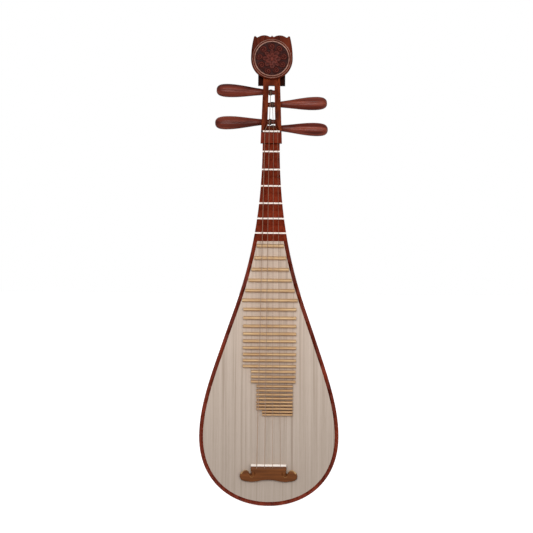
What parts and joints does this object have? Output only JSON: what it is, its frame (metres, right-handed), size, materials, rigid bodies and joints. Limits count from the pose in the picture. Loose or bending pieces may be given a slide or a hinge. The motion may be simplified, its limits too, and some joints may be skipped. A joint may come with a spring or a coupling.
{
  "type": "pipa",
  "caption": "Pear-shaped plucked lute with a planked soundboard, ridged neck frets, bamboo body frets, strings and turning friction pegs below a carved round head.",
  "frame": {"origin": "tail end of the body on its centreline, in the plane of the soundboard's front face", "axes": "+Z from the tail to the head, the front faces -Y, +X to the viewer's right"},
  "size_m": [0.303, 0.0732, 1.0227],
  "materials": {
    "rosewood_back": "satin lacquer",
    "rosewood_neck": "satin lacquer",
    "rosewood_fret": "satin lacquer",
    "rosewood_peg": "polished lacquer",
    "dark_rosewood": "satin lacquer",
    "carved_rosewood": "carved, satin lacquer",
    "pale_bead": "polished",
    "paulownia_board": "bare, fine sanded",
    "spruce_inner": "bare",
    "bamboo": "bare, smooth",
    "tailpiece_wood": "satin",
    "bone": "polished bone",
    "wound_string": "nylon-wound steel"
  },
  "bodies": {
    "instrument": {"back_shell": "rosewood_back", "soundboard": "paulownia_board", "soundboard_braces": "spruce_inner", "sound_post": "spruce_inner", "xiang_1": "rosewood_fret", "xiang_2": "rosewood_fret", "xiang_3": "rosewood_fret", "xiang_4": "rosewood_fret", "xiang_5": "rosewood_fret", "xiang_6": "rosewood_fret", "xiang_strips": "bone", "pin_01": "bamboo", "pin_02": "bamboo", "pin_03": "bamboo", "pin_04": "bamboo", "pin_05": "bamboo", "pin_06": "bamboo", "pin_07": "bamboo", "pin_08": "bamboo", "pin_09": "bamboo", "pin_10": "bamboo", "pin_11": "bamboo", "pin_12": "bamboo", "pin_13": "bamboo", "pin_14": "bamboo", "pin_15": "bamboo", "pin_16": "bamboo", "pin_17": "bamboo", "pin_18": "bamboo", "pin_19": "bamboo", "pin_20": "bamboo", "pin_21": "bamboo", "pin_22": "bamboo", "pin_23": "bamboo", "pin_24": "bamboo", "pin_25": "bamboo", "pin_26": "bamboo", "pin_27": "bamboo", "phoenix_pillow": "rosewood_fret", "nut": "bone", "bridge": "tailpiece_wood", "bridge_saddle": "bone", "string_1": "wound_string", "string_2": "wound_string", "string_3": "wound_string", "string_4": "wound_string", "pegbox": "rosewood_neck", "head_block": "rosewood_neck", "head_collar": "dark_rosewood", "medallion_ring": "pale_bead", "medallion": "carved_rosewood"},
    "tuner_1": {"peg_1": "rosewood_peg", "string_winding_1": "wound_string"},
    "tuner_2": {"peg_2": "rosewood_peg", "string_winding_2": "wound_string"},
    "tuner_3": {"peg_3": "rosewood_peg", "string_winding_3": "wound_string"},
    "tuner_4": {"peg_4": "rosewood_peg", "string_winding_4": "wound_string"}
  },
  "joints": [
    {"name": "tuner_1_turn", "type": "hinge", "parent": "instrument", "child": "tuner_1", "pos_m": [0, 0.0145, 0.8209], "axis": [0.9996, 0, -0.0279], "continuous": true},
    {"name": "tuner_2_turn", "type": "hinge", "parent": "instrument", "child": "tuner_2", "pos_m": [0, 0.02415, 0.8717], "axis": [0.9993, 0, 0.0366], "continuous": true},
    {"name": "tuner_3_turn", "type": "hinge", "parent": "instrument", "child": "tuner_3", "pos_m": [0, 0.02928, 0.8987], "axis": [-0.9993, 0, 0.0366], "continuous": true},
    {"name": "tuner_4_turn", "type": "hinge", "parent": "instrument", "child": "tuner_4", "pos_m": [0, 0.01701, 0.8341], "axis": [-0.9996, 0, -0.0279], "continuous": true}
  ]
}
